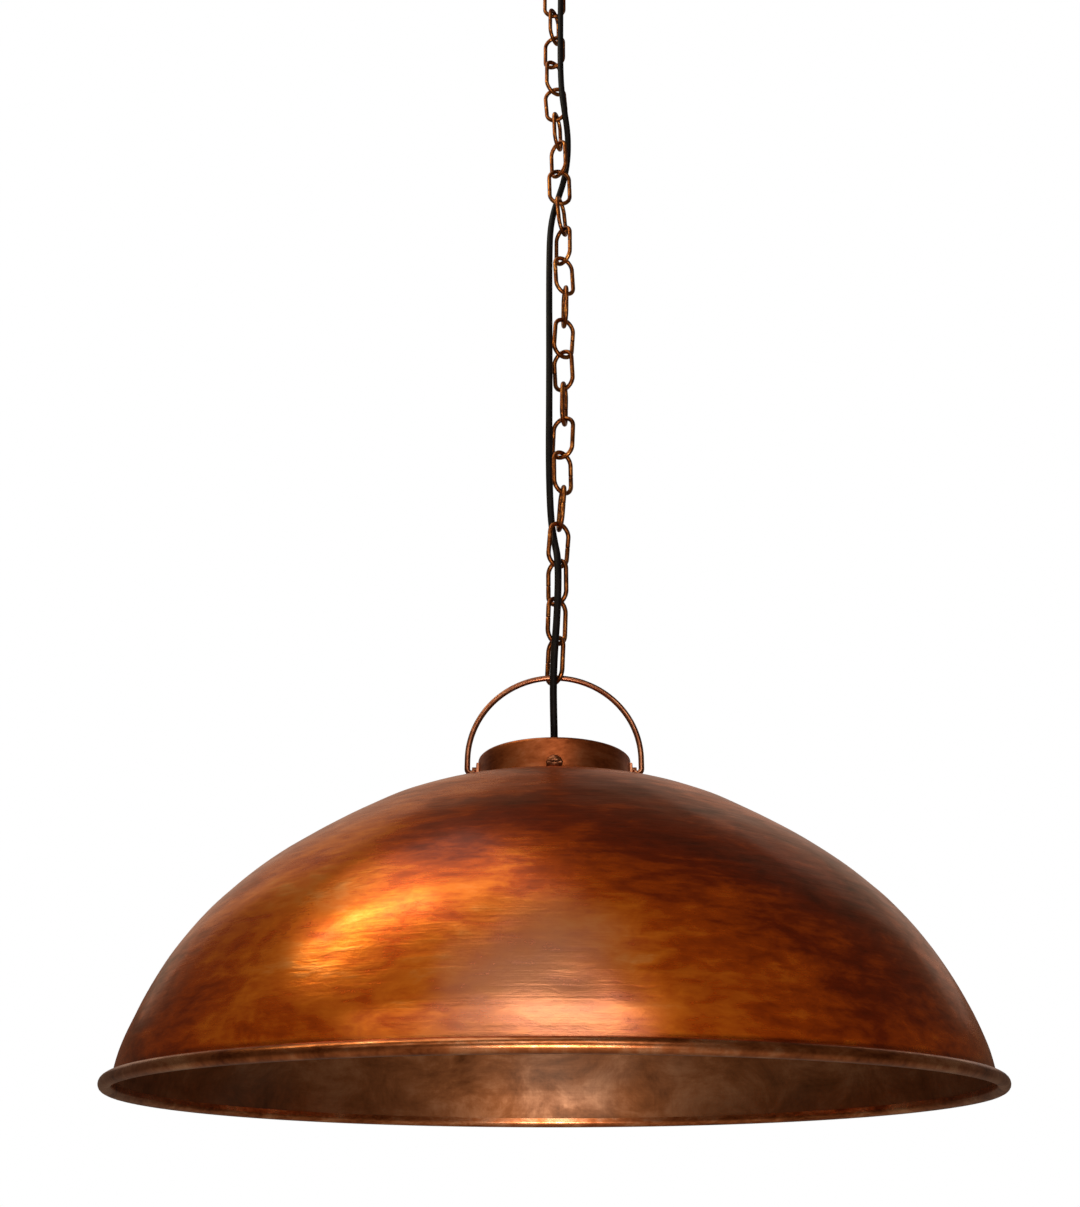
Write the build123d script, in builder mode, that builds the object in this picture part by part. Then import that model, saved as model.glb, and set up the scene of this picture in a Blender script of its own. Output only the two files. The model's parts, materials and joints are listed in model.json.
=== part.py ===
"""Domed copper pendant lamp on a link chain, drawn hanging from its ceiling bar.
Millimetres, +Z up. Origin: centre of the ceiling bar's top face, on the ceiling."""
from build123d import *
import math
import os

os.makedirs("parts", exist_ok=True)

# ---- driving sizes ---------------------------------------------------------------------------
gap = 0.3            # daylight left between links that bear on each other
fit = 0.08           # radial running clearance of the bail's pivots

link_wire_r = 1.9
link_pitch = 34.05   # from one bearing point to the next
link_half_w = 9.45   # wire centre line to the link's axis
hook_contact_z = -61.6
# turn of each link's plane about the chain, in degrees from the plane across the lamp
link_turns = [90, 0, 65, -22, 40, -18, 72, -48, 10, 70, -50, 36, -82, 35, -38, 80, -30, 42,
              -80, 38, -41, 44, -52]
# sideways place of the bearing points, top to bottom: the cord pushes the chain into a slight bow
bearing_x = [0, 0, 0, 0, 0, 0, 2.4, 3.4, 4.3, 5.2, 8.0, 8.0, 9.6, 9.2, 7.2, 8.6, 8.0, 6.6, 7.0,
             4.6, 2.2, 2.4, 1.4, 0]

dome_r = 294.0
dome_h = 208.0
dome_t = 1.0
bead_r = 4.3
bead_stand = 2.3     # the bead's centre line stands this far outside the dome
core_gap = 0.2       # between the curled sheet and the rim wire in it

cap_r = 57.9
cap_t = 1.2
cap_over_neck = 0.1  # radial clearance of the cap on the dome's neck

bail_wire_r = 2.2
bail_bend_r = 3.5
bail_stand = 8.3     # the bail's legs stand this far outside the cap
bail_arch_over_bend = 7.8

canopy_r = 62.0
canopy_h = 46.0
canopy_t = 1.0
mouth_r = 18.5

cord_r = 2.9
nipple_r = 5.0

# ---- places worked out from them -------------------------------------------------------------
bead_mid_r = dome_r + bead_stand
core_wire_r = bead_r - dome_t - core_gap
neck_r = cap_r - cap_t - cap_over_neck
neck_top = dome_h + 17.0
cap_bottom = dome_h + 4.8
cap_top = cap_bottom + 27.0
screw_z = cap_bottom + 7.2
pivot_over_rim = cap_bottom + 17.2
bridge_z = dome_h - 1.0
bail_half_w = cap_r + bail_stand
bail_end_x = cap_r - 5.4
bearings = [(bearing_x[0], hook_contact_z)]
for x_next in bearing_x[1:]:
    dx_link = x_next - bearings[-1][0]
    bearings.append((x_next, bearings[-1][1] - math.sqrt(link_pitch ** 2 - dx_link ** 2)))
bail_contact_z = bearings[-1][1]
apex_z = bail_contact_z + gap / 2 + bail_wire_r
arch_mid_z = apex_z - bail_half_w
pivot_z = arch_mid_z - bail_bend_r - bail_arch_over_bend
rim_z = pivot_z - pivot_over_rim


def up(height):
    """Height above the rim's plane, as a Z of the lamp."""
    return rim_z + height


def save(piece, name):
    piece.part.label = name
    export_step(piece.part, f"parts/{name}.step")
    print(f"{name:20s} {piece.part.volume:12.1f} mm3  solids {len(piece.part.solids())}")


# ---- ceiling fitting -------------------------------------------------------------------------
flange_mid = (28 + canopy_r - canopy_t) / 2
tab_x = canopy_r - canopy_t - 1.1
with BuildPart() as ceiling_bar:
    with Locations((flange_mid, 0, -1), (-flange_mid, 0, -1)):
        Box(canopy_r - canopy_t - 28, 18, 2)
    with Locations((29, 0, -7), (-29, 0, -7)):
        Box(2, 18, 14)
    with Locations((0, 0, -13)):
        Box(60, 18, 2)
    with Locations((tab_x, 0, -9), (-tab_x, 0, -9)):
        Box(2, 14, 18)
    with Locations((0, 0, -9)):
        Cylinder(canopy_r - canopy_t - 0.1, 30, mode=Mode.INTERSECT)
    with Locations((44, 0, -1), (-44, 0, -1)):
        Hole(2.6, 2)
    with Locations((0, 0, -13)):
        Hole(3.2, 2)
    with Locations((17, 0, -13)):
        Hole(1.6, 2)
    with Locations(Plane((0, 0, -10), x_dir=(0, 1, 0), z_dir=(1, 0, 0))):
        Cylinder(1.7, 2 * canopy_r + 6, mode=Mode.SUBTRACT)
save(ceiling_bar, "ceiling_bar")

hook_r = 3.0
hook_loop_r = 10.0
hook_mid_z = hook_contact_z - gap / 2 - hook_r + hook_loop_r
with BuildPart() as ceiling_hook:
    with Locations((0, 0, (hook_mid_z + hook_loop_r - 3) / 2)):
        Cylinder(hook_r, 3 - hook_mid_z - hook_loop_r - 6)
    with BuildSketch(Plane((0, 0, hook_mid_z + hook_loop_r), x_dir=(0, 1, 0), z_dir=(1, 0, 0))):
        Circle(hook_r)
    revolve(axis=Axis((0, 0, hook_mid_z), (0, -1, 0)), revolution_arc=300)
    fillet(ceiling_hook.edges().filter_by(GeomType.CIRCLE).group_by(Axis.Z)[-1], 0.6)
save(ceiling_hook, "ceiling_hook")

with BuildPart() as hook_washer:
    with Locations((0, 0, -11.4)):
        Cylinder(7, 1.2)
        Cylinder(3.1, 1.2, mode=Mode.SUBTRACT)
save(hook_washer, "hook_washer")

with BuildPart() as hook_nuts:
    for nut_z in (-10.8, -19.0):
        with BuildSketch(Plane.XY.offset(nut_z)):
            RegularPolygon(5.77, 6)
            Circle(hook_r, mode=Mode.SUBTRACT)
        extrude(amount=5.0)
save(hook_nuts, "hook_nuts")

with BuildPart() as canopy:
    with BuildSketch(Plane.XZ):
        with BuildLine():
            band = Line((canopy_r, 0), (canopy_r, -17))
            bell = Spline(band @ 1, (canopy_r - 5, -29), (canopy_r - 20, -37.5), (canopy_r - 35, -40.5),
                          tangents=[(0, -1), (-1, -0.05)])
            throat = TangentArc(bell @ 1, (mouth_r + canopy_t, -canopy_h), tangent=bell % 1)
            lip = Line(throat @ 1, (mouth_r, -canopy_h))
            bell_in = Spline((canopy_r - canopy_t, -17), (canopy_r - 5.9, -28.4),
                             (canopy_r - 20.3, -36.5), (canopy_r - 35.2, -39.5),
                             tangents=[(0, -1), (-1, -0.05)])
            TangentArc(bell_in @ 1, lip @ 1, tangent=bell_in % 1)
            band_in = Line(bell_in @ 0, (canopy_r - canopy_t, 0))
            Line(band_in @ 1, band @ 0)
        make_face()
        with Locations((mouth_r + 0.9, -canopy_h)):
            Circle(1.3)
    revolve(axis=Axis.Z)
    with Locations(Plane((0, 0, -10), x_dir=(0, 1, 0), z_dir=(1, 0, 0))):
        Cylinder(2.1, 2 * canopy_r + 6, mode=Mode.SUBTRACT)
save(canopy, "canopy")

with BuildPart() as canopy_screws:
    for side in (1, -1):
        with Locations(Plane((side * canopy_r, 0, -10), x_dir=(0, 1, 0), z_dir=(side, 0, 0))):
            Cylinder(3.6, 2.2, align=(Align.CENTER, Align.CENTER, Align.MIN))
            with Locations((0, 0, -6)):
                Cylinder(1.65, 6.2, align=(Align.CENTER, Align.CENTER, Align.MIN))
    fillet(canopy_screws.edges().filter_by(GeomType.CIRCLE).group_by(Axis.X)[-1], 1.2)
    fillet(canopy_screws.edges().filter_by(GeomType.CIRCLE).group_by(Axis.X)[0], 1.2)
    with Locations((canopy_r + 2.2, 0, -10), (-canopy_r - 2.2, 0, -10)):
        Box(2, 9, 0.9, mode=Mode.SUBTRACT)
save(canopy_screws, "canopy_screws")

block_x = 17.0
block_y = -5.0
block_low = -26.0
with BuildPart() as terminal_block:
    with Locations((block_x, block_y, (block_low - 14) / 2)):
        Box(20, 12, -14 - block_low)
    fillet(terminal_block.edges().filter_by(Axis.Z), 2)
    with Locations((block_x, 0, -13.9)):
        Cylinder(1.5, 5)
    for pole in (-1, 0, 1):
        with Locations((block_x + 6 * pole, block_y - 6, -18)):
            Box(3.8, 5, 3.8, mode=Mode.SUBTRACT)
save(terminal_block, "terminal_block")

with BuildPart() as terminal_screws:
    with Locations(*[(block_x + 6 * pole, block_y - 3.5, -18) for pole in (-1, 0, 1)]):
        with Locations(Plane.XZ):
            Cylinder(1.6, 2.2, align=(Align.CENTER, Align.CENTER, Align.MIN))
save(terminal_screws, "terminal_screws")

# ---- chain -----------------------------------------------------------------------------------
bar_mid = link_pitch / 2 + gap / 2 + link_wire_r
straight = bar_mid - link_half_w
for index, turn in enumerate(link_turns):
    top_x, top_z = bearings[index]
    low_x, low_z = bearings[index + 1]
    axis_dir = Vector(top_x - low_x, 0, top_z - low_z).normalized()
    across = Vector(axis_dir.Z, 0, -axis_dir.X)
    link_mid = ((top_x + low_x) / 2, 0, (top_z + low_z) / 2)
    turned = Plane(link_mid, x_dir=across, z_dir=axis_dir).rotated((0, 0, turn))
    face_on = Plane(link_mid, x_dir=turned.x_dir, z_dir=turned.x_dir.cross(axis_dir))
    with BuildPart() as link:
        with BuildLine(face_on) as link_path:
            right = Line((link_half_w, -straight), (link_half_w, straight))
            over = TangentArc(right @ 1, (-link_half_w, straight), tangent=right % 1)
            left = Line(over @ 1, (-link_half_w, -straight))
            TangentArc(left @ 1, right @ 0, tangent=left % 1)
        with BuildSketch(Plane(right @ 0, z_dir=right % 0)):
            Circle(link_wire_r)
        sweep(path=link_path.wires()[0])
    save(link, f"link_{index + 1:02d}")

# ---- bail ------------------------------------------------------------------------------------
with BuildPart() as bail:
    with BuildLine(Plane.XZ) as bail_path:
        inward = Line((bail_end_x, pivot_z), (bail_half_w - bail_bend_r, pivot_z))
        bend = TangentArc(inward @ 1, (bail_half_w, pivot_z + bail_bend_r), tangent=inward % 1)
        leg = Line(bend @ 1, (bail_half_w, arch_mid_z))
        arch = TangentArc(leg @ 1, (-bail_half_w, arch_mid_z), tangent=leg % 1)
        leg_2 = Line(arch @ 1, (-bail_half_w, pivot_z + bail_bend_r))
        bend_2 = TangentArc(leg_2 @ 1, (bail_bend_r - bail_half_w, pivot_z), tangent=leg_2 % 1)
        Line(bend_2 @ 1, (-bail_end_x, pivot_z))
    with BuildSketch(Plane((bail_end_x, 0, pivot_z), z_dir=(1, 0, 0))):
        Circle(bail_wire_r)
    sweep(path=bail_path.wires()[0])
save(bail, "bail")

with BuildPart() as bail_keepers:
    for side in (1, -1):
        with Locations(Plane((side * (bail_end_x + 2.4), 0, pivot_z), z_dir=(side, 0, 0))):
            Cylinder(4.4, 1.2)
            Cylinder(bail_wire_r, 1.2, mode=Mode.SUBTRACT)
save(bail_keepers, "bail_keepers")

# ---- cap and its fittings --------------------------------------------------------------------
grommet_hole_r = 5.2
rivet_turn = 7.0
rivet_planes = []
for centre_turn in (0, 180):
    for offset_turn in (-rivet_turn, rivet_turn):
        angle = math.radians(centre_turn + offset_turn)
        outward = (math.cos(angle), math.sin(angle), 0)
        rivet_planes.append(Plane((0, 0, pivot_z), x_dir=(0, 0, 1), z_dir=outward))

with BuildPart() as cap:
    with Locations((0, 0, up((cap_top + cap_bottom) / 2))):
        Cylinder(cap_r, cap_top - cap_bottom)
    fillet(cap.edges().group_by(Axis.Z)[-1], 2.0)
    with Locations((0, 0, up((cap_top + cap_bottom) / 2 - cap_t))):
        Cylinder(cap_r - cap_t, cap_top - cap_bottom, mode=Mode.SUBTRACT)
    with Locations((0, 0, up(cap_top - 2))):
        Cylinder(grommet_hole_r, 10, mode=Mode.SUBTRACT)
    with Locations(Plane((0, 0, up(screw_z)), x_dir=(1, 0, 0), z_dir=(0, 1, 0))):
        Cylinder(2.6, 2 * cap_r + 4, mode=Mode.SUBTRACT)
    with Locations(Plane((0, 0, pivot_z), x_dir=(0, 1, 0), z_dir=(1, 0, 0))):
        Cylinder(bail_wire_r + 0.5, 2 * cap_r + 4, mode=Mode.SUBTRACT)
    for rivet_plane in rivet_planes:
        with Locations(rivet_plane.offset(cap_r)):
            Cylinder(1.45, 8, mode=Mode.SUBTRACT)
save(cap, "cap")

with BuildPart() as cord_grommet:
    with Locations((0, 0, up(cap_top - cap_t / 2))):
        Cylinder(grommet_hole_r, cap_t + 2)
    with Locations((0, 0, up(cap_top + 0.7)), (0, 0, up(cap_top - cap_t - 0.7))):
        Cylinder(7.6, 1.4)
    fillet(cord_grommet.edges().filter_by(GeomType.CIRCLE).group_by(Axis.Z)[-1], 0.5)
    with Locations((0, 0, up(cap_top))):
        Cylinder(cord_r + 0.1, 12, mode=Mode.SUBTRACT)
save(cord_grommet, "cord_grommet")

boss_end = bail_half_w - bail_bend_r - 0.3
for side, side_name in ((1, "right"), (-1, "left")):
    with BuildPart() as lug:
        with Locations((0, 0, pivot_z)):
            Cylinder(cap_r + 1.6, 10)
            Cylinder(cap_r, 10, mode=Mode.SUBTRACT)
        with Locations((side * cap_r, 0, pivot_z)):
            Box(20, 21, 10, mode=Mode.INTERSECT)
        with Locations(Plane((side * (cap_r + 0.9), 0, pivot_z), z_dir=(side, 0, 0))):
            Cylinder(4.5, boss_end - cap_r - 0.9, align=(Align.CENTER, Align.CENTER, Align.MIN))
        with Locations(Plane((side * cap_r, 0, pivot_z), z_dir=(side, 0, 0))):
            Cylinder(bail_wire_r + fit, 24, mode=Mode.SUBTRACT)
        for rivet_plane in rivet_planes:
            with Locations(rivet_plane.offset(cap_r)):
                Cylinder(1.45, 8, mode=Mode.SUBTRACT)
    save(lug, f"bail_lug_{side_name}")

with BuildPart() as lug_rivets:
    for rivet_plane in rivet_planes:
        with Locations(rivet_plane.offset(cap_r + 1.6)):
            Cylinder(2.2, 1.2, align=(Align.CENTER, Align.CENTER, Align.MIN))
        with Locations(rivet_plane.offset(cap_r - cap_t - 1.25)):
            Cylinder(2.2, 1.2, align=(Align.CENTER, Align.CENTER, Align.MIN))
            Cylinder(1.4, cap_t + 3.2, align=(Align.CENTER, Align.CENTER, Align.MIN))
save(lug_rivets, "lug_rivets")

with BuildPart() as cap_screws:
    for side in (1, -1):
        with BuildSketch(Plane((0, side * cap_r, up(screw_z)), x_dir=(1, 0, 0), z_dir=(0, 0, 1))):
            with BuildLine():
                face = Line((0, 0), (6, 0))
                brow = ThreePointArc((6, 0), (4.5, side * 2.2), (0, side * 3.3))
                Line(brow @ 1, face @ 0)
            make_face()
        revolve(axis=Axis((0, 0, up(screw_z)), (0, 1, 0)))
        with Locations(Plane((0, side * (cap_r + 0.2), up(screw_z)), z_dir=(0, -side, 0))):
            Cylinder(2.45, 11.2, align=(Align.CENTER, Align.CENTER, Align.MIN))
    with Locations((0, cap_r + 3.3, up(screw_z)), (0, -cap_r - 3.3, up(screw_z))):
        Box(13, 3.2, 1.3, mode=Mode.SUBTRACT)
save(cap_screws, "cap_screws")

# ---- dome ------------------------------------------------------------------------------------
# outline of the outside, as shares of the dome's radius and height
outline = [(0.9944, 0.0192), (0.9847, 0.1106), (0.9507, 0.2418), (0.9082, 0.3683),
           (0.8534, 0.4851), (0.7881, 0.5909), (0.7143, 0.6846), (0.6347, 0.7668),
           (0.5517, 0.8428), (0.4660, 0.9120), (0.3748, 0.9654), (0.2850, 0.9960),
           (0.2180, 1.0130)]
outside = [(share_r * dome_r, share_h * dome_h) for share_r, share_h in outline]
wall_foot_r = bead_mid_r - bead_r + dome_t
outside[0] = (wall_foot_r, 3.0)
outside[-1] = (neck_r + 7.492, outside[-1][1])
inside = []
for here, (r_out, h_out) in enumerate(outside):
    r_a, h_a = outside[max(here - 1, 0)]
    r_b, h_b = outside[min(here + 1, len(outside) - 1)]
    run = math.hypot(r_b - r_a, h_b - h_a)
    inside.append((r_out - dome_t * (h_b - h_a) / run, h_out + dome_t * (r_b - r_a) / run))
inside[0] = (wall_foot_r - dome_t, 3.0)
shoulder_r, shoulder_h = outside[-1]
with BuildPart() as dome:
    with BuildSketch(Plane.XZ):
        with BuildLine():
            foot = Line((wall_foot_r, rim_z), (wall_foot_r, up(3.0)))
            skin = Spline(*[(r_out, up(h_out)) for r_out, h_out in outside],
                          tangents=[(-0.12, 1), (-1, 0.05)])
            turn_up = Line(skin @ 1, (neck_r, up(shoulder_h + 1.0)))
            neck_out = Line(turn_up @ 1, (neck_r, up(neck_top)))
            neck_lip = Line(neck_out @ 1, (neck_r - dome_t, up(neck_top)))
            lining = Spline(*[(r_in, up(h_in)) for r_in, h_in in inside],
                            tangents=[(-0.12, 1), (-1, 0.05)])
            neck_in = Line(neck_lip @ 1, (neck_r - dome_t, up(shoulder_h)))
            Line(neck_in @ 1, lining @ 1)
            foot_in = Line(lining @ 0, (wall_foot_r - dome_t, rim_z))
            Line(foot_in @ 1, foot @ 0)
        make_face()
        with Locations((bead_mid_r, rim_z)):
            Circle(bead_r)
            Circle(bead_r - dome_t, mode=Mode.SUBTRACT)
        with Locations((wall_foot_r + 0.35, rim_z + bead_r)):
            Rectangle(0.7, 5.0, mode=Mode.SUBTRACT)
    revolve(axis=Axis.Z)
    with Locations(Plane((0, 0, up(screw_z)), x_dir=(1, 0, 0), z_dir=(0, 1, 0))):
        Cylinder(2.6, 2 * cap_r, mode=Mode.SUBTRACT)
save(dome, "dome")

with BuildPart() as rim_wire:
    with BuildSketch(Plane.XZ):
        with Locations((bead_mid_r, rim_z)):
            Circle(core_wire_r)
    revolve(axis=Axis.Z)
save(rim_wire, "rim_wire")

# ---- lampholder and what carries it ----------------------------------------------------------
with BuildPart() as holder_bridge:
    with Locations((0, 0, up(bridge_z + 1))):
        Box(22, 2 * neck_r, 2)
    with Locations((0, neck_r - 2.4, up(bridge_z + 9.5)), (0, 2.4 - neck_r, up(bridge_z + 9.5))):
        Box(16, 3.6, 19)
    with Locations((0, 0, up(bridge_z + 9.5))):
        Cylinder(neck_r - dome_t - 0.1, 30, mode=Mode.INTERSECT)
        Cylinder(nipple_r + 0.1, 30, mode=Mode.SUBTRACT)
    with Locations(Plane((0, 0, up(screw_z)), x_dir=(1, 0, 0), z_dir=(0, 1, 0))):
        Cylinder(2.5, 2 * cap_r, mode=Mode.SUBTRACT)
save(holder_bridge, "holder_bridge")

nipple_low = bridge_z - 11.0
nipple_top = bridge_z + 17.0
with BuildPart() as nipple:
    with Locations((0, 0, up((nipple_low + nipple_top) / 2))):
        Cylinder(nipple_r, nipple_top - nipple_low)
    chamfer(nipple.edges().group_by(Axis.Z)[-1], 0.6)
    with Locations((0, 0, up((nipple_low + nipple_top) / 2))):
        Cylinder(cord_r + 0.4, nipple_top - nipple_low, mode=Mode.SUBTRACT)
save(nipple, "nipple")

with BuildPart() as nipple_washer:
    with BuildSketch(Plane.XY.offset(up(bridge_z + 2))):
        Circle(9)
        Circle(nipple_r + 0.1, mode=Mode.SUBTRACT)
        with PolarLocations(9, 12):
            Circle(0.9, mode=Mode.SUBTRACT)
    extrude(amount=0.8)
save(nipple_washer, "nipple_washer")

with BuildPart() as nipple_nuts:
    for nut_z in (bridge_z + 2.8, bridge_z - 3):
        with BuildSketch(Plane.XY.offset(up(nut_z))):
            RegularPolygon(8.1, 6)
            Circle(nipple_r, mode=Mode.SUBTRACT)
        extrude(amount=3.0)
save(nipple_nuts, "nipple_nuts")

grip_low = bridge_z + 6.0
grip_top = grip_low + 18.5
with BuildPart() as cord_grip:
    with Locations((0, 0, up((grip_low + grip_top) / 2))):
        Cylinder(8.5, grip_top - grip_low)
    chamfer(cord_grip.edges().group_by(Axis.Z)[-1], 1.5)
    with Locations((0, 0, up((grip_low + nipple_top) / 2))):
        Cylinder(nipple_r, nipple_top - grip_low, mode=Mode.SUBTRACT)
    with Locations((0, 0, up(grip_top - 4))):
        Cylinder(cord_r + 0.1, 20, mode=Mode.SUBTRACT)
    with Locations(Plane((6, 0, up(nipple_top + 3.6)), z_dir=(1, 0, 0))):
        Cylinder(1.85, 8, mode=Mode.SUBTRACT)
save(cord_grip, "cord_grip")

with BuildPart() as grip_screw:
    with Locations(Plane((3.1, 0, up(nipple_top + 3.6)), z_dir=(1, 0, 0))):
        Cylinder(1.8, 7.4, align=(Align.CENTER, Align.CENTER, Align.MIN))
    with Locations((10.5, 0, up(nipple_top + 3.6))):
        Box(1.6, 5, 0.8, mode=Mode.SUBTRACT)
save(grip_screw, "grip_screw")

holder_top = bridge_z - 3.0
with BuildPart() as holder_cap:
    with BuildSketch(Plane.XZ):
        with BuildLine():
            roof = Polyline((nipple_r, up(holder_top)), (8, up(holder_top)), (8, up(holder_top - 4)))
            slope = Spline(roof @ 1, (15, up(holder_top - 8)), (20, up(holder_top - 18)),
                           tangents=[(1, -0.1), (0, -1)])
            skirt_out = Line(slope @ 1, (20, up(holder_top - 26)))
            Line(skirt_out @ 1, (18.4, up(holder_top - 26)))
            Line((18.4, up(holder_top - 26)), (18.4, up(holder_top - 18)))
            liner = Spline((18.4, up(holder_top - 18)), (14, up(holder_top - 9.6)),
                           (8, up(holder_top - 5.8)), tangents=[(0, 1), (-1, 0.1)])
            Line(liner @ 1, (nipple_r, up(holder_top - 5.8)))
            Line((nipple_r, up(holder_top - 5.8)), (nipple_r, up(holder_top)))
        make_face()
    revolve(axis=Axis.Z)
save(holder_cap, "holder_cap")

holder_mid = holder_top - 26.0
holder_low = holder_top - 56.0
with BuildPart() as holder_skirt:
    with Locations((0, 0, up((holder_mid + holder_low) / 2))):
        Cylinder(20, holder_mid - holder_low)
    with Locations((0, 0, up(holder_low + 2))):
        Cylinder(20.9, 4)
    fillet(holder_skirt.edges().group_by(Axis.Z)[0], 0.8)
    with Locations((0, 0, up((holder_mid + holder_low) / 2))):
        Cylinder(17.6, holder_mid - holder_low, mode=Mode.SUBTRACT)
save(holder_skirt, "holder_skirt")

core_top = holder_top - 18.0
core_low = core_top - 13.0
with BuildPart() as holder_core:
    with Locations((0, 0, up((core_top + core_low) / 2))):
        Cylinder(17.5, core_top - core_low)
    chamfer(holder_core.edges().group_by(Axis.Z)[-1], 1.0)
    with BuildSketch(Plane.XY.offset(up(core_low - 19))):
        Circle(17.4)
        Circle(14.2, mode=Mode.SUBTRACT)
    extrude(amount=19)
save(holder_core, "holder_core")

with BuildPart() as lamp_thread:
    with BuildSketch(Plane.XY.offset(up(core_low - 18.5))):
        Circle(14.1)
        Circle(13.5, mode=Mode.SUBTRACT)
    extrude(amount=18.5)
    for turn_index in range(5):
        with BuildSketch(Plane.XZ):
            with Locations((13.5, up(core_low - 3.2 - 3.6 * turn_index))):
                Circle(0.45)
        revolve(axis=Axis.Z)
save(lamp_thread, "lamp_thread")

with BuildPart() as centre_contact:
    with Locations((0, 0, up(core_low - 1))):
        Cylinder(4, 2)
    fillet(centre_contact.edges().group_by(Axis.Z)[0], 1.2)
save(centre_contact, "centre_contact")

with BuildPart() as shade_ring:
    with BuildSketch(Plane.XY.offset(up(holder_mid - 14))):
        Circle(24.5)
        Circle(20, mode=Mode.SUBTRACT)
        with PolarLocations(24.9, 24):
            Circle(0.8, mode=Mode.SUBTRACT)
    extrude(amount=5)
save(shade_ring, "shade_ring")

# ---- power cord ------------------------------------------------------------------------------
# Places by hand: (x, y, z) from the terminal block down, then beside, behind, through and in
# front of the chain, over the bail and into the cap.
cord_route = [
    (12.4, -7.6, block_low), (12.4, -7.6, -38.0), (9.6, -9.2, -60.0), (6.6, -9.4, -90.0),
    (6.2, -9.4, -122.0),
    (6.0, -9.2, -160.0), (5.8, -9.4, -208.0), (7.0, -9.4, -243.0), (10.2, -7.2, -268.0),
    (13.0, -1.6, -290.0), (12.8, 4.2, -312.0), (9.4, 8.6, -334.0), (4.2, 9.2, -354.0),
    (-0.8, 7.0, -374.0), (-4.0, 3.6, -400.0), (-4.6, 2.0, -436.0), (-4.6, 1.4, -484.0),
    (-4.4, 1.0, -536.0), (-4.4, 0.4, -590.0), (-4.6, 0.2, -640.0), (-3.8, 2.4, -680.0),
    (-2.4, 4.2, -704.0), (0.2, 0.2, -723.0), (2.6, -7.4, -739.0), (3.2, -9.8, -760.0),
    (2.2, -9.6, -792.0), (0.0, -9.4, -824.0), (-0.9, -8.8, -850.0), (-0.6, -4.4, -872.0),
    (0, 0, -894.0), (0, 0, up(core_top))]
corner_radii = []
for before, corner, after in zip(cord_route, cord_route[1:], cord_route[2:]):
    run_in = Vector(*corner) - Vector(*before)
    run_out = Vector(*after) - Vector(*corner)
    half_turn = math.radians(run_in.get_angle(run_out)) / 2
    corner_radii.append(0.45 * min(run_in.length, run_out.length) / math.tan(half_turn))
print("cord bend radii, mm:", [round(radius) for radius in corner_radii])
with BuildPart() as power_cord:
    with BuildLine() as cord_path:
        FilletPolyline(*cord_route, radius=corner_radii)
    cord_wire = cord_path.wires()[0]
    with BuildSketch(Plane(cord_wire @ 0, z_dir=cord_wire % 0)):
        Circle(cord_r)
    sweep(path=cord_wire)
print(f"cord length {cord_wire.length:.1f} mm, section x length "
      f"{math.pi * cord_r ** 2 * cord_wire.length:.1f} mm3")
save(power_cord, "power_cord")
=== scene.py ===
import json
import math

import bmesh
import bpy
from mathutils import Matrix, Quaternion, Vector, noise


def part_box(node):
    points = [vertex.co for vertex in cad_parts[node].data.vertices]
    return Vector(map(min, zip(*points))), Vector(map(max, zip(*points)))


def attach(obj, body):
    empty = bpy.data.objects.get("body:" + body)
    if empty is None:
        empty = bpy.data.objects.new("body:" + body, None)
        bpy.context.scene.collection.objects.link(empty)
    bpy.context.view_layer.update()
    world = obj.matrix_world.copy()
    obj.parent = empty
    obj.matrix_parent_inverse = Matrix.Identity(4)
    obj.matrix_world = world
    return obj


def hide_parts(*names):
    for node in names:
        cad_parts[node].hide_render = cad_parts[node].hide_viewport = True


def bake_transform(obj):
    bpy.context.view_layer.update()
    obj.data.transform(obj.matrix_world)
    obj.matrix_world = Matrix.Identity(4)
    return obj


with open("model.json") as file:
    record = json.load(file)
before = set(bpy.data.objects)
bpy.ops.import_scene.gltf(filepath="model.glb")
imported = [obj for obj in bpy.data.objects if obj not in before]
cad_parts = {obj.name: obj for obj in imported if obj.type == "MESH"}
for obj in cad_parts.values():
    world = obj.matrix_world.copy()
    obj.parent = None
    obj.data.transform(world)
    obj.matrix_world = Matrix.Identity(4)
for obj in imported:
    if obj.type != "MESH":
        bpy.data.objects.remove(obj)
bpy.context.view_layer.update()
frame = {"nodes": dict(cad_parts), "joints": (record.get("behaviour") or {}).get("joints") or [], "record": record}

scene = bpy.context.scene
joints = {joint["name"]: joint for joint in frame["joints"]}
slot_of = {part["node"]: part["material_slot"] for part in frame["record"]["subparts"]}
bead_r = 0.0043
sheet = 0.001
cap_sheet = 0.0012
rim_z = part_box("dome")[0].z + bead_r
pivot_z = joints["dome_tilt"]["pos_m"][2]


# ---- camera, floor and light -------------------------------------------------------------------
camera = bpy.data.objects.new("camera", bpy.data.cameras.new("camera"))
scene.collection.objects.link(camera)
eye_forward, eye_below_rim, look_up = 0.984134, 0.076358, 24.474
camera.location = (0, -eye_forward, rim_z - eye_below_rim)
camera.rotation_euler = (math.radians(90 + look_up), 0, 0)
camera.data.sensor_width = 36
camera.data.lens = 40.181
camera.data.shift_x = -0.0119
scene.camera = camera
scene.view_settings.view_transform = "Standard"

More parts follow.
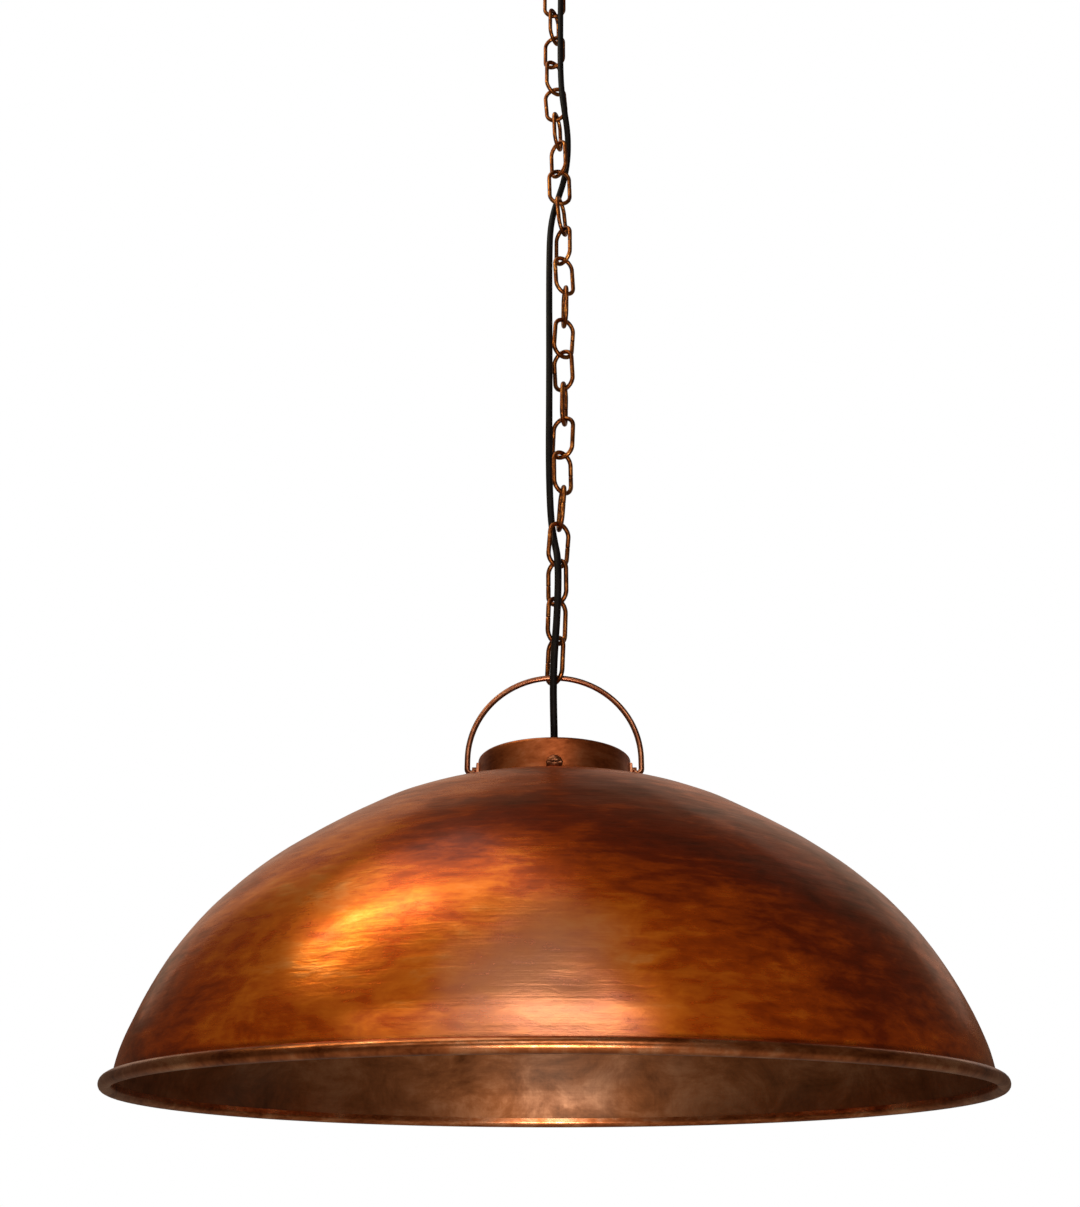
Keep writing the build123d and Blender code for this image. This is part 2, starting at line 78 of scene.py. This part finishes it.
sky = bpy.data.worlds.new("studio")
scene.world = sky
sky.use_nodes = True
sky_nodes = sky.node_tree.nodes
sky_nodes.clear()
sky_out = sky_nodes.new("ShaderNodeOutputWorld")
sky_mix = sky_nodes.new("ShaderNodeMixShader")
sky_path = sky_nodes.new("ShaderNodeLightPath")
sky_glow = sky_nodes.new("ShaderNodeBackground")
sky_glow.inputs["Color"].default_value = (1.0, 0.82, 0.62, 1)
sky_glow.inputs["Strength"].default_value = 0.1
sky_seen = sky_nodes.new("ShaderNodeBackground")
sky_seen.inputs["Color"].default_value = (1, 1, 1, 1)
sky_seen.inputs["Strength"].default_value = 1.0
sky.node_tree.links.new(sky_path.outputs["Is Camera Ray"], sky_mix.inputs[0])
sky.node_tree.links.new(sky_glow.outputs[0], sky_mix.inputs[1])
sky.node_tree.links.new(sky_seen.outputs[0], sky_mix.inputs[2])
sky.node_tree.links.new(sky_mix.outputs[0], sky_out.inputs[0])


def soft_light(name, turn, height, reach, size, watts, tint, lean=0):
    """An oblong soft light that faces the dome: its turn from the front and its height in degrees."""
    lamp = bpy.data.lights.new(name, "AREA")
    lamp.shape = "RECTANGLE"
    lamp.size, lamp.size_y = size
    lamp.energy = watts
    lamp.color = tint
    held = bpy.data.objects.new(name, lamp)
    scene.collection.objects.link(held)
    a, e = math.radians(turn), math.radians(height)
    out = Vector((math.sin(a) * math.cos(e), -math.cos(a) * math.cos(e), math.sin(e)))
    held.location = aim + out * reach
    held.rotation_mode = "QUATERNION"
    held.rotation_quaternion = out.to_track_quat("Z", "Y") @ Quaternion((0, 0, 1), math.radians(lean))
    held.visible_camera = False


aim = Vector((0, 0, rim_z + 0.08))
soft_light("key", -69, 50, 2.2, (0.2, 0.85), 7, (1.0, 0.9, 0.55), -24)
soft_light("left_wash", -64, 69, 2.4, (1.7, 1.3), 11, (1.0, 0.93, 0.82))
soft_light("front_fill", 4, 26.5, 2.4, (1.2, 0.7), 7, (1.0, 0.94, 0.92))
soft_light("front_wash", -14, 24, 2.6, (3.4, 0.5), 7, (1.0, 0.93, 0.85))
soft_light("back_left", -152, 32, 2.6, (1.8, 1.8), 4, (1.0, 0.93, 0.8))
soft_light("back_right", 152, 32, 2.6, (1.8, 1.8), 4, (1.0, 0.96, 0.9))
soft_light("front_low", 1, -21, 1.8, (0.5, 0.3), 20, (1.0, 0.95, 0.92))
soft_light("under", 10, -62, 1.9, (1.2, 1.2), 2.5, (1.0, 0.94, 0.88))


# ---- finishes ----------------------------------------------------------------------------------
class Finish:
    """One material being wired up, with short words for the nodes it needs."""

    def __init__(self, name):
        self.material = bpy.data.materials.new(name)
        self.material.use_nodes = True
        self.tree = self.material.node_tree
        self.tree.nodes.clear()
        self.shader = self.tree.nodes.new("ShaderNodeBsdfPrincipled")
        self.place = self.tree.nodes.new("ShaderNodeTexCoord").outputs["Object"]
        out = self.tree.nodes.new("ShaderNodeOutputMaterial")
        self.join(self.shader.outputs[0], out.inputs["Surface"])

    def join(self, source, target):
        if isinstance(source, bpy.types.NodeSocket):
            self.tree.links.new(source, target)
        else:
            target.default_value = source

    def node(self, kind, inputs=(), **settings):
        made = self.tree.nodes.new(kind)
        for key, value in settings.items():
            setattr(made, key, value)
        for key, value in dict(inputs).items():
            self.join(value, made.inputs[key])
        return made

    def maths(self, operation, a, b):
        return self.node("ShaderNodeMath", {0: a, 1: b}, operation=operation).outputs[0]

    def stretch(self, vector, by):
        return self.node("ShaderNodeVectorMath", {0: vector, 1: by}, operation="MULTIPLY").outputs[0]

    def grain(self, vector, scale, detail=4.0, rough=0.55, swirl=0.0):
        made = self.node("ShaderNodeTexNoise", {"Vector": vector, "Scale": scale, "Detail": detail,
                                                "Roughness": rough, "Distortion": swirl})
        return made.outputs["Fac"]

    def spread(self, value, low, high, to_low=0.0, to_high=1.0, smooth=False):
        made = self.node("ShaderNodeMapRange", {0: value, 1: low, 2: high, 3: to_low, 4: to_high})
        made.interpolation_type = "SMOOTHSTEP" if smooth else "LINEAR"
        return made.outputs[0]

    def shades(self, value, stops):
        ramp = self.node("ShaderNodeValToRGB", {0: value})
        line = ramp.color_ramp.elements
        while len(line) < len(stops):
            line.new(0.5)
        for held, (at, colour) in zip(line, stops):
            held.position = at
            held.color = (*colour, 1)
        return ramp.outputs[0]

    def blend(self, share, a, b):
        made = self.node("ShaderNodeMix", data_type="RGBA")
        self.join(share, made.inputs[0])
        self.join(a, made.inputs[6])
        self.join(b, made.inputs[7])
        return made.outputs[2]

    def round_the_axis(self):
        """Object place as (x, y, height less radius): turned sheet shows its rings along the last one."""
        parts = self.node("ShaderNodeSeparateXYZ", {0: self.place}).outputs
        flat = self.node("ShaderNodeCombineXYZ", {0: parts[0], 1: parts[1]}).outputs[0]
        radius = self.node("ShaderNodeVectorMath", {0: flat}, operation="LENGTH").outputs["Value"]
        along = self.maths("SUBTRACT", parts[2], radius)
        return self.node("ShaderNodeCombineXYZ", {0: parts[0], 1: parts[1], 2: along}).outputs[0]

    def finish(self, colour, roughness, metallic, height=None, strength=0.2, distance=0.0005, **plain):
        self.join(colour, self.shader.inputs["Base Color"])
        self.join(roughness, self.shader.inputs["Roughness"])
        self.shader.inputs["Metallic"].default_value = metallic
        for key, value in plain.items():
            self.shader.inputs[key.replace("_", " ")].default_value = value
        if height is not None:
            bump = self.node("ShaderNodeBump", {"Height": height, "Strength": strength, "Distance": distance})
            self.join(bump.outputs[0], self.shader.inputs["Normal"])
        return self.material


def smudges(finish, marks):
    """Soft round marks, each a place, a reach and a strength, with ragged edges, added together."""
    ragged = finish.node("ShaderNodeTexNoise", {"Vector": finish.place, "Scale": 11.0, "Detail": 5.0})
    shake = finish.node("ShaderNodeVectorMath", {0: ragged.outputs["Color"], 1: (0.5, 0.5, 0.5)},
                        operation="SUBTRACT").outputs[0]
    near = finish.node("ShaderNodeVectorMath", {0: finish.stretch(shake, (0.11, 0.11, 0.06)), 1: finish.place},
                       operation="ADD").outputs[0]
    total = 0.0
    for x, y, z, reach, strength in marks:
        gap = finish.node("ShaderNodeVectorMath", {0: near, 1: (x, y, rim_z + z)}, operation="DISTANCE")
        share = finish.spread(gap.outputs["Value"], reach, reach * 0.15, 0.0, strength, smooth=True)
        total = finish.maths("ADD", total, share)
    return total


def burnished_copper():
    """The dome's outside: spun copper, heat stained in clouds and rubbed bright in rings, with painted highlights,
    a painted reflection of the front light and a painted dark reflection below the cap screw.
    """
    f = Finish("burnished_copper")
    rings = f.round_the_axis()
    cloud = f.grain(f.stretch(rings, (1, 1, 1.5)), 15.0, 9.0, 0.66, 0.5)
    small = f.grain(f.stretch(rings, (1, 1, 2.4)), 52.0, 6.0, 0.62, 0.4)
    line = f.grain(f.stretch(rings, (3, 3, 170)), 1.0, 5.0, 0.6)
    hair = f.grain(f.stretch(rings, (9, 9, 620)), 1.0, 3.0, 0.6)
    # Darker spots on the front of the dome. The first, just below the cap screw, is a painted dark reflection.
    dark_spots_and_reflection = smudges(f, [(0.0, -0.118, 0.2, 0.02, 0.2), (0.02, -0.17, 0.165, 0.10, 0.30),
                       (0.075, -0.20, 0.135, 0.12, 0.28), (-0.05, -0.21, 0.13, 0.07, 0.30),
                       (0.14, -0.21, 0.09, 0.12, 0.24),
                       (0.20, -0.17, 0.08, 0.14, 0.26), (-0.235, -0.16, 0.035, 0.10, 0.22),
                       (0.03, -0.25, 0.095, 0.06, 0.16)])
    # Painted highlights: these marks lighten the dome where the lights shine on it, on the left side and low on the
    # front.
    light = smudges(f, [(-0.13, -0.20, 0.115, 0.09, 0.16), (0.0, -0.286, 0.022, 0.13, 0.16),
                        (-0.10, -0.26, 0.05, 0.10, 0.12)])
    tone = f.maths("ADD", f.maths("MULTIPLY", cloud, 0.64), f.maths("MULTIPLY", small, 0.38))
    tone = f.maths("ADD", tone, f.maths("MULTIPLY", f.maths("SUBTRACT", line, 0.5), 0.13))
    tone = f.maths("SUBTRACT", tone, f.maths("MULTIPLY", dark_spots_and_reflection, 0.42))
    tone = f.maths("ADD", tone, f.maths("MULTIPLY", light, 0.5))
    colour = f.shades(tone, [(0.16, (0.05, 0.0035, 0.0002)), (0.36, (0.19, 0.018, 0.0003)),
                             (0.5, (0.44, 0.062, 0.001)), (0.63, (0.68, 0.155, 0.008)),
                             (0.85, (0.80, 0.34, 0.09))])
    # Painted reflection of the front light: a pale pink glow low on the front of the dome.
    painted_front_glow = smudges(f, [(0.0, -0.288, 0.012, 0.075, 0.42), (-0.01, -0.275, 0.045, 0.05, 0.18)])
    colour = f.blend(f.spread(painted_front_glow, 0.0, 1.0), colour, (0.72, 0.37, 0.22, 1))
    rough = f.maths("ADD", f.spread(tone, 0.2, 0.75, 0.36, 0.15), f.maths("MULTIPLY", hair, 0.06))
    height = f.maths("ADD", f.maths("MULTIPLY", line, 0.5), f.maths("MULTIPLY", hair, 0.3))
    height = f.maths("ADD", height, f.maths("MULTIPLY", small, 0.9))
    return f.finish(colour, rough, 0.68, height, 0.22, 0.0009, Coat_Weight=0.18, Coat_Roughness=0.2,
                    Specular_Tint=(1.0, 0.62, 0.36, 1))


def tarnished_copper():
    """The dome's inside: dull brown with a grey bloom, ring marks and fine scratches."""
    f = Finish("tarnished_copper")
    rings = f.round_the_axis()
    cloud = f.grain(f.stretch(rings, (1, 1, 1.2)), 19.0, 9.0, 0.68, 0.4)
    bloom = f.grain(f.place, 4.2, 4.0, 0.5)
    line = f.grain(f.stretch(rings, (4, 4, 240)), 1.0, 4.0, 0.65)
    scratch = f.grain(f.stretch(f.place, (160, 160, 11)), 1.0, 3.0, 0.6, 1.5)
    tone = f.maths("ADD", f.maths("MULTIPLY", cloud, 0.88), f.maths("MULTIPLY", line, 0.08))
    tone = f.maths("ADD", tone, f.maths("MULTIPLY", scratch, 0.07))
    colour = f.shades(tone, [(0.3, (0.06, 0.016, 0.004)), (0.52, (0.22, 0.075, 0.026)), (0.75, (0.42, 0.19, 0.09))])
    colour = f.blend(f.spread(bloom, 0.5, 0.72, 0.0, 0.5, smooth=True), colour, (0.16, 0.12, 0.09, 1))
    rough = f.spread(tone, 0.3, 0.75, 0.58, 0.4)
    height = f.maths("ADD", f.maths("MULTIPLY", line, 0.6), f.maths("MULTIPLY", scratch, 0.4))
    return f.finish(colour, rough, 1.0, height, 0.2, 0.0006)


def aged_copper(name, deep, plain, worn, scale, rough=(0.46, 0.3), bump=0.25, rings=False):
    """Small copper work: brown stain that is rubbed through in places."""
    f = Finish(name)
    place = f.stretch(f.round_the_axis(), (1, 1, 2.2)) if rings else f.place
    cloud = f.grain(place, scale, 7.0, 0.6, 0.5)
    speck = f.grain(place, scale * 7, 4.0, 0.6)
    tone = f.maths("ADD", f.maths("MULTIPLY", cloud, 0.75), f.maths("MULTIPLY", speck, 0.25))
    colour = f.shades(tone, [(0.34, deep), (0.5, plain), (0.68, worn)])
    roughness = f.spread(tone, 0.3, 0.7, rough[0], rough[1])
    height = f.maths("ADD", f.maths("MULTIPLY", cloud, 0.5), f.maths("MULTIPLY", speck, 0.5))
    return f.finish(colour, roughness, 1.0, height, bump, 0.0004)


def plain_metal(name, low, high, scale, stretch=(1, 1, 1), rough=(0.42, 0.28)):
    """Plated or turned hardware: an even metal with fine marks and dull spots."""
    f = Finish(name)
    mark = f.grain(f.stretch(f.place, stretch), scale, 5.0, 0.6)
    fog = f.grain(f.place, scale * 0.2, 3.0, 0.5)
    tone = f.maths("ADD", f.maths("MULTIPLY", mark, 0.5), f.maths("MULTIPLY", fog, 0.5))
    return f.finish(f.shades(tone, [(0.36, low), (0.62, high)]), f.spread(tone, 0.35, 0.65, *rough), 1.0,
                    mark, 0.12, 0.0002)


def moulding(name, low, high, scale, rough, bump=0.15, shine=0.5):
    """Moulded plastic or rubber: a fine even texture with slight shade changes."""
    f = Finish(name)
    skin = f.grain(f.place, scale, 5.0, 0.6)
    fog = f.grain(f.place, scale * 0.05, 3.0, 0.5)
    return f.finish(f.shades(fog, [(0.35, low), (0.65, high)]), f.spread(skin, 0.35, 0.65, *rough), 0.0,
                    skin, bump, 0.0002, Specular_IOR_Level=shine)


dome_copper = burnished_copper()
dome_lining = tarnished_copper()
cap_copper = aged_copper("cap_copper", (0.16, 0.03, 0.006), (0.40, 0.105, 0.032), (0.58, 0.21, 0.09), 24,
                         (0.5, 0.36), bump=0.12, rings=True)
bead_copper = aged_copper("bead_copper", (0.13, 0.026, 0.005), (0.42, 0.125, 0.04), (0.72, 0.34, 0.17), 30,
                          (0.36, 0.24), bump=0.08, rings=True)
chain_copper = aged_copper("chain_copper", (0.05, 0.012, 0.002), (0.25, 0.07, 0.015), (0.6, 0.24, 0.06), 90,
                           bump=0.12)
bail_copper = aged_copper("bail_copper", (0.12, 0.034, 0.014), (0.30, 0.105, 0.05), (0.5, 0.22, 0.11), 42,
                          (0.38, 0.28), bump=0.06)
finishes = {
    "copper": cap_copper,
    "copper_wire": bail_copper,
    "copper_screws": aged_copper("screw_copper", (0.12, 0.035, 0.016), (0.36, 0.13, 0.06), (0.7, 0.36, 0.2),
                                 150),
    "steel": plain_metal("zinc_steel", (0.34, 0.34, 0.35), (0.62, 0.62, 0.63), 90, (1, 1, 4)),
    "brass": plain_metal("turned_brass", (0.42, 0.27, 0.09), (0.74, 0.54, 0.24), 120, (1, 1, 6)),
    "white_plastic": moulding("white_moulding", (0.62, 0.61, 0.57), (0.78, 0.77, 0.73), 900, (0.5, 0.36)),
    "black_plastic": moulding("black_moulding", (0.008, 0.008, 0.008), (0.02, 0.019, 0.018), 700,
                              (0.42, 0.26)),
    "black_rubber": moulding("black_rubber", (0.003, 0.002, 0.002), (0.008, 0.005, 0.004), 1100,
                             (0.55, 0.42), 0.1, 0.1),
}
for node_name, node_object in frame["nodes"].items():
    node_object.data.materials.clear()
    node_object.data.materials.append(finishes[slot_of[node_name]])


# ---- making pieces -----------------------------------------------------------------------------
def piece(name, mesh_work, body, material, stands_for=()):
    """Turns finished mesh work into a piece, which rides on its body where it has only one."""
    mesh = bpy.data.meshes.new(name)
    mesh_work.to_mesh(mesh)
    mesh_work.free()
    for one in material if isinstance(material, list) else [material]:
        mesh.materials.append(one)
    mesh.shade_smooth()
    mesh.set_sharp_from_angle(angle=math.radians(38))
    made = bpy.data.objects.new(name, mesh)
    scene.collection.objects.link(made)
    if body:
        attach(made, body)
    if stands_for:
        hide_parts(*stands_for)
    return made


def spun(outline, steps):
    """A sheet turned about the lamp's axis from an outline of (radius, height)."""
    work = bmesh.new()
    points = [work.verts.new((r, 0, z)) for r, z in outline]
    edges = [work.edges.new(pair) for pair in zip(points, points[1:])]
    bmesh.ops.spin(work, geom=points + edges, cent=(0, 0, 0), axis=(0, 0, 1), angle=2 * math.pi,
                   steps=steps, use_merge=True, use_duplicate=False)
    bmesh.ops.remove_doubles(work, verts=work.verts, dist=1e-6)
    bmesh.ops.recalc_face_normals(work, faces=work.faces)
    return work


def ring_of(made):
    """The last ring's edges and vertices out of what an operator gives back."""
    fresh = {v for v in made if isinstance(v, bmesh.types.BMVert)}
    edges = [e for e in made if isinstance(e, bmesh.types.BMEdge) and fresh.issuperset(e.verts)]
    return list(fresh), edges


def bent_wire(wire_r, start, heading, steps, sides=16, rounding=0.0004):
    """Round wire bent in runs (length,) and bends (axis, bend radius, angle, steps), with dressed ends."""
    work = bmesh.new()
    at, going = Vector(start), Vector(heading).normalized()
    facing = Matrix.Translation(at) @ Vector((0, 0, 1)).rotation_difference(going).to_matrix().to_4x4()
    verts = bmesh.ops.create_circle(work, segments=sides, radius=wire_r, matrix=facing)["verts"]
    edges = list(work.edges)
    for step in steps:
        if len(step) == 1:
            verts, edges = ring_of(bmesh.ops.extrude_edge_only(work, edges=edges)["geom"])
            bmesh.ops.translate(work, verts=verts, vec=going * step[0])
            at += going * step[0]
        else:
            axis, bend_r, angle, count = Vector(step[0]), step[1], step[2], step[3]
            middle = at + axis.cross(going) * bend_r
            made = bmesh.ops.spin(work, geom=verts + edges, cent=middle, axis=axis, angle=angle,
                                  steps=count, use_duplicate=False)["geom_last"]
            verts, edges = ring_of(made)
            spin = Matrix.Rotation(angle, 3, axis)
            at = middle + spin @ (at - middle)
            going = spin @ going
    rims = [e for e in work.edges if e.is_boundary]
    bmesh.ops.holes_fill(work, edges=rims, sides=0)
    bmesh.ops.bevel(work, geom=rims, offset=rounding, segments=2, profile=0.5, affect="EDGES", material=-1)
    bmesh.ops.recalc_face_normals(work, faces=work.faces)
    return work


def smooth_run(points, parts):
    """More points along a smooth line through the given ones."""
    line = []
    for i in range(len(points) - 1):
        a, b = Vector(points[max(i - 1, 0)]), Vector(points[i])
        c, d = Vector(points[i + 1]), Vector(points[min(i + 2, len(points) - 1)])
        for k in range(parts):
            t = k / parts
            line.append(0.5 * (2 * b + (c - a) * t + (2 * a - 5 * b + 4 * c - d) * t * t
                               + (3 * b - a - 3 * c + d) * t ** 3))
    line.append(Vector(points[-1]))
    return line


# ---- dome --------------------------------------------------------------------------------------
dome_r, dome_h = 0.294, 0.208
bead_mid_r, neck_r, dent_from, dent_to = 0.2963, 0.0556, 0.012, 0.205
shares = [(0.9966, 0.0144), (0.9847, 0.1106), (0.9507, 0.2418), (0.9082, 0.3683), (0.8534, 0.4851),
          (0.7881, 0.5909), (0.7143, 0.6846), (0.6347, 0.7668), (0.5517, 0.8428), (0.4660, 0.9120),
          (0.3748, 0.9654), (0.2850, 0.9960), (0.2180, 1.0130)]
wall_r = 0.293
outline = smooth_run([(r * dome_r, h * dome_h, 0) for r, h in shares], 6)
inner = []
for i, here in enumerate(outline):
    along = (outline[min(i + 1, len(outline) - 1)] - outline[max(i - 1, 0)]).normalized()
    inner.append((here.x - along.y * sheet, rim_z + here.y + along.x * sheet))
inner[0] = (wall_r - sheet, rim_z + 0.003)
neck = [(neck_r, rim_z + 0.2125), (neck_r, rim_z + 0.2185), (neck_r, rim_z + 0.225)]
bead = []
for i in range(19):
    turn = math.radians(180 + i * 17.6)
    bead.append((bead_mid_r + bead_r * math.cos(turn), rim_z + bead_r * math.sin(turn)))
dome_work = spun(neck[::-1] + inner[:0:-1] + [inner[0]] + bead, 288)
# each dent's place, its reach and its depth
dents = [(0.012, -0.283, 0.030, 0.016, 0.0009), (0.028, -0.278, 0.036, 0.011, -0.0007),
         (0.043, -0.281, 0.026, 0.013, 0.0008), (-0.032, -0.267, 0.066, 0.02, 0.0006),
         (0.052, -0.262, 0.064, 0.018, -0.0006), (-0.118, -0.225, 0.088, 0.026, 0.0005),
         (0.21, -0.13, 0.10, 0.03, 0.0006), (-0.19, 0.14, 0.11, 0.03, 0.0007),
         (0.06, 0.24, 0.10, 0.028, 0.0007), (0.16, 0.17, 0.12, 0.024, -0.0005)]
for v in dome_work.verts:
    height = v.co.z - rim_z
    if height < dent_from or height > dent_to:
        continue
    push = 0.00055 * noise.noise(v.co * 17) + 0.0003 * noise.noise(v.co * 46)
    for x, y, z, reach, depth in dents:
        away = (v.co - Vector((x, y, rim_z + z))).length / reach
        if away < 1:
            push -= depth * (1 - away * away) ** 2
    fade = min(1, (height - dent_from) / 0.03, (dent_to - height) / 0.02)
    v.co += Vector((v.co.x, v.co.y, 0.12)).normalized() * push * fade
for face in dome_work.faces:
    middle = face.calc_center_median()
    face.material_index = 2 if middle.z < rim_z + 0.0028 or Vector(middle.xy).length > 0.2925 else 0
bmesh.ops.recalc_face_normals(dome_work, faces=dome_work.faces)
dome = piece("dome_shell", dome_work, "shade",
             [dome_lining, dome_copper, bead_copper, bead_copper], ["dome"])
wall = dome.modifiers.new("sheet", "SOLIDIFY")
wall.thickness = sheet
wall.offset = -1.0
wall.material_offset = 1

# ---- cap ---------------------------------------------------------------------------------------
cap_low, cap_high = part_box("cap")[0].z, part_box("cap")[1].z
cap_r = 0.0579


def rounded(corner, radius, start, count):
    """Points round a corner's arc, from one heading to the next quarter."""
    return [(corner[0] + radius * math.cos(math.radians(start - i * 90 / count)),
             corner[1] + radius * math.sin(math.radians(start - i * 90 / count))) for i in range(count + 1)]


cap_line = [(0.0052, cap_high - 0.0008), (0.02, cap_high - 0.0007), (0.04, cap_high - 0.0003)]
cap_line += rounded((cap_r - 0.0022, cap_high - 0.0022), 0.0022, 90, 6)
cap_line += [(cap_r, cap_high - 0.009), (cap_r, cap_high - 0.016), (cap_r, cap_low + 0.004), (cap_r, cap_low)]
cap_work = spun(cap_line, 160)
for v in cap_work.verts:
    if v.co.z > cap_low + 0.001 and Vector(v.co.xy).length > 0.05:
        v.co += Vector((v.co.x, v.co.y, 0)).normalized() * 0.00022 * (noise.noise(v.co * 38) - 0.6)
cap = piece("cap_drum", cap_work, "shade", cap_copper, ["cap"])
wall = cap.modifiers.new("sheet", "SOLIDIFY")
wall.thickness = cap_sheet
wall.offset = -1.0

# ---- chain -------------------------------------------------------------------------------------
link_turns = [90, 0, 65, -22, 40, -18, 72, -48, 10, 70, -50, 36, -82, 35, -38, 80, -30, 42, -80, 38,
              -41, 44, -52]
cut_on_left = {12, 15, 17, 21, 22, 23}
wire_r, half_w, straight, saw = 0.0019, 0.00945, 0.009625, 0.00028
half_turn = ((0, -1, 0), half_w, math.pi, 18)
for number, turn in enumerate(link_turns, 1):
    node_name = f"link_{number:02d}"
    low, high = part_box(node_name)
    axis = Vector(joints[f"{node_name}_turn"]["axis"]) if number > 2 else Vector((0, 0, 1))
    across = Vector((axis.z, 0, -axis.x))
    depth = axis.cross(across)
    spin = math.radians(turn)
    side = across * math.cos(spin) + depth * math.sin(spin)
    if number in cut_on_left:
        side = -side
    cut = 0.0008 * math.sin(number * 2.3)
    work = bent_wire(wire_r, (half_w, 0, cut + saw), (0, 0, 1),
                     [(straight - cut - saw,), half_turn, (2 * straight,), half_turn,
                      (straight + cut - saw,)], 14, 0.00035)
    place = Matrix((side, axis.cross(side), axis)).transposed().to_4x4()
    place.translation = (low + high) / 2
    bmesh.ops.transform(work, matrix=place, verts=work.verts)
    piece(f"chain_{node_name}", work, node_name, chain_copper, [node_name])

# ---- bail --------------------------------------------------------------------------------------
bail_low, bail_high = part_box("bail")
bail_half, bend_r, bail_r, foot_x = 0.0662, 0.0035, 0.0022, 0.0525
leg = bail_high.z - bail_r - bail_half - (pivot_z + bend_r)
turn_in = ((0, -1, 0), bend_r, math.pi / 2, 8)
bail_work = bent_wire(bail_r, (foot_x, 0, pivot_z), (1, 0, 0),
                      [(bail_half - bend_r - foot_x,), turn_in, (leg,), ((0, -1, 0), bail_half, math.pi, 96),
                       (leg,), turn_in, (bail_half - bend_r - foot_x,)], 18, 0.0005)
piece("bail_wire", bail_work, "bail", bail_copper, ["bail"])

# ---- flex --------------------------------------------------------------------------------------
flex_route = [
    (12.4, -7.6, -26), (12.4, -7.6, -38), (9.6, -9.2, -60), (6.6, -9.4, -90), (6.2, -9.4, -122),
    (6.0, -9.2, -160), (5.8, -9.4, -208), (7.0, -9.4, -243), (10.2, -7.2, -268), (13.0, -1.6, -290),
    (12.8, 4.2, -312), (9.4, 8.6, -334), (4.2, 9.2, -354), (-0.8, 7.0, -374), (-4.0, 3.6, -400),
    (-4.6, 2.0, -436), (-4.6, 1.4, -484), (-4.4, 1.0, -536), (-4.4, 0.4, -590), (-4.6, 0.2, -640),
    (-3.8, 2.4, -680), (-2.4, 4.2, -704), (0.2, 0.2, -723), (2.6, -7.4, -739), (3.2, -9.8, -760),
    (2.2, -9.6, -792), (0, -9.4, -824), (-0.9, -8.8, -850), (-0.6, -4.4, -872), (0, 0, -894),
    (0, 0, -963.284)]
flex_r = 0.0029
flex_curve = bpy.data.curves.new("flex_line", "CURVE")
flex_curve.dimensions = "3D"
flex_curve.resolution_u = 12
flex_spline = flex_curve.splines.new("NURBS")
flex_spline.points.add(len(flex_route) - 1)
for point, (x, y, z) in zip(flex_spline.points, flex_route):
    point.co = (x / 1000, y / 1000, z / 1000, 1)
flex_spline.order_u = 3
flex_spline.use_endpoint_u = True
flex_held = bpy.data.objects.new("flex_line", flex_curve)
flex_line = [v.co.copy() for v in bpy.data.meshes.new_from_object(flex_held).vertices]
bpy.data.objects.remove(flex_held)


def flex_piece(name, line):
    """A round tube that follows the line."""
    work = bmesh.new()
    going = (line[1] - line[0]).normalized()
    facing = Matrix.Translation(line[0]) @ Vector((0, 0, -1)).rotation_difference(going).to_matrix().to_4x4()
    bmesh.ops.create_circle(work, segments=18, radius=flex_r, matrix=facing)
    edges = list(work.edges)
    for i in range(1, len(line)):
        ahead = (line[min(i + 1, len(line) - 1)] - line[i - 1]).normalized()
        verts, edges = ring_of(bmesh.ops.extrude_edge_only(work, edges=edges)["geom"])
        bmesh.ops.rotate(work, verts=verts, cent=line[i - 1], matrix=going.rotation_difference(ahead).to_matrix())
        bmesh.ops.translate(work, verts=verts, vec=line[i] - line[i - 1])
        going = ahead
    bmesh.ops.holes_fill(work, edges=[e for e in work.edges if e.is_boundary], sides=0)
    bmesh.ops.recalc_face_normals(work, faces=work.faces)
    return work


def flex_between(high, low):
    """The part of the flex's line from one height down to another, in mm."""
    first = min(range(len(flex_line)), key=lambda i: abs(flex_line[i].z - high / 1000))
    last = min(range(len(flex_line)), key=lambda i: abs(flex_line[i].z - low / 1000))
    return flex_line[first:last + 1]


flex_parts = [
    ("flex_at_ceiling", -26, -80, ("ceiling", "link_01", (0, 0, -0.046), (0, 0, -0.079))),
    ("flex_at_first_link", -80, -120, ("link_01", "link_02", (0, 0, -0.081), (0, 0, -0.117))),
    ("flex_along_chain", -120, -822, "link_02"),
    ("flex_at_bail", -822, -868, ("link_02", "bail", (0, 0, -0.825), (0, 0, -0.866))),
    ("flex_above_cap", -868, -908, ("bail", "shade", (0, 0, -0.869), (0, 0, -0.907))),
    ("flex_in_shade", -908, -963.284, "shade")]
for name, high, low, joined in flex_parts:
    line = flex_between(high, low)
    ride_on = joined if isinstance(joined, str) else None
    made = piece(name, flex_piece(name, line), ride_on, finishes["black_rubber"],
                 ["power_cord"] if name == "flex_along_chain" else [])
    if ride_on is None:
        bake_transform(made)

# ---- floor -------------------------------------------------------------------------------------
floor_below_rim = 1.25
floor_work = bmesh.new()
bmesh.ops.create_grid(floor_work, x_segments=2, y_segments=2, size=9,
                      matrix=Matrix.Translation((0, 0, rim_z - floor_below_rim)))
floor_finish = Finish("pale_floor")
floor_shade = floor_finish.grain(floor_finish.place, 3.0)
seen = floor_finish.node("ShaderNodeLightPath").outputs["Is Camera Ray"]
floor_finish.join(floor_finish.maths("MULTIPLY", seen, 0.62), floor_finish.shader.inputs["Emission Strength"])
floor_finish.shader.inputs["Emission Color"].default_value = (0.9, 0.885, 0.86, 1)
floor_mesh = bpy.data.meshes.new("floor")
floor_work.to_mesh(floor_mesh)
floor_work.free()
floor_mesh.materials.append(floor_finish.finish(
    floor_finish.shades(floor_shade, [(0.3, (0.74, 0.73, 0.71)), (0.7, (0.78, 0.77, 0.75))]), 0.8, 0.0))
floor = bpy.data.objects.new("floor", floor_mesh)
scene.collection.objects.link(floor)
